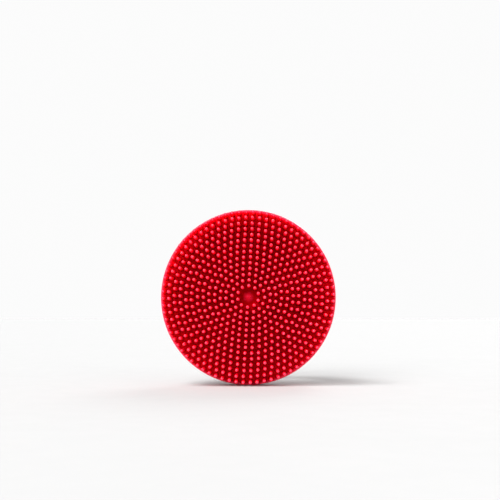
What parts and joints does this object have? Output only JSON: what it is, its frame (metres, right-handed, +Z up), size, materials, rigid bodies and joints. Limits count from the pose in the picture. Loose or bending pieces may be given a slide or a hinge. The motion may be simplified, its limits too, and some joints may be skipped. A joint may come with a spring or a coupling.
{
  "type": "pet grooming brush",
  "caption": "Round palm brush with a one-piece rubber pad of rounded bristles in concentric rings, a domed back cover and a hinged, buttoned rubber palm strap.",
  "frame": {"origin": "bottom centre of the bounding box: under the middle of the brush, at the lowest point of the pad's rim", "axes": "+Z up, with the brush upright on its rim; the bristles face -Y, the palm strap is on the +Y side, and the strap's hinge is at +X"},
  "size_m": [0.0856, 0.05, 0.0855],
  "materials": {
    "pad_rubber": "soft translucent red rubber, satin",
    "strap_rubber": "red rubber, satin with a fine texture",
    "cover_plastic": "red moulded plastic, fine satin texture",
    "core_plastic": "natural moulded plastic",
    "button_plastic": "red moulded plastic, polished by use",
    "screw_steel": "zinc plated steel",
    "pin_steel": "ground stainless steel"
  },
  "bodies": {
    "head": {"bristle_pad": "pad_rubber", "core_plate": "core_plastic", "back_cover": "cover_plastic", "cover_screws": "screw_steel", "hinge_pin": "pin_steel", "pin_retainer": "pin_steel", "strap_button": "button_plastic", "button_screw": "screw_steel"},
    "strap": {"palm_strap": "strap_rubber"}
  },
  "joints": [
    {"name": "strap_swing", "type": "hinge", "parent": "head", "child": "strap", "pos_m": [0.033, -0.0024, 0.04275], "axis": [0, 0, -1], "range_deg": [0, 135]}
  ]
}
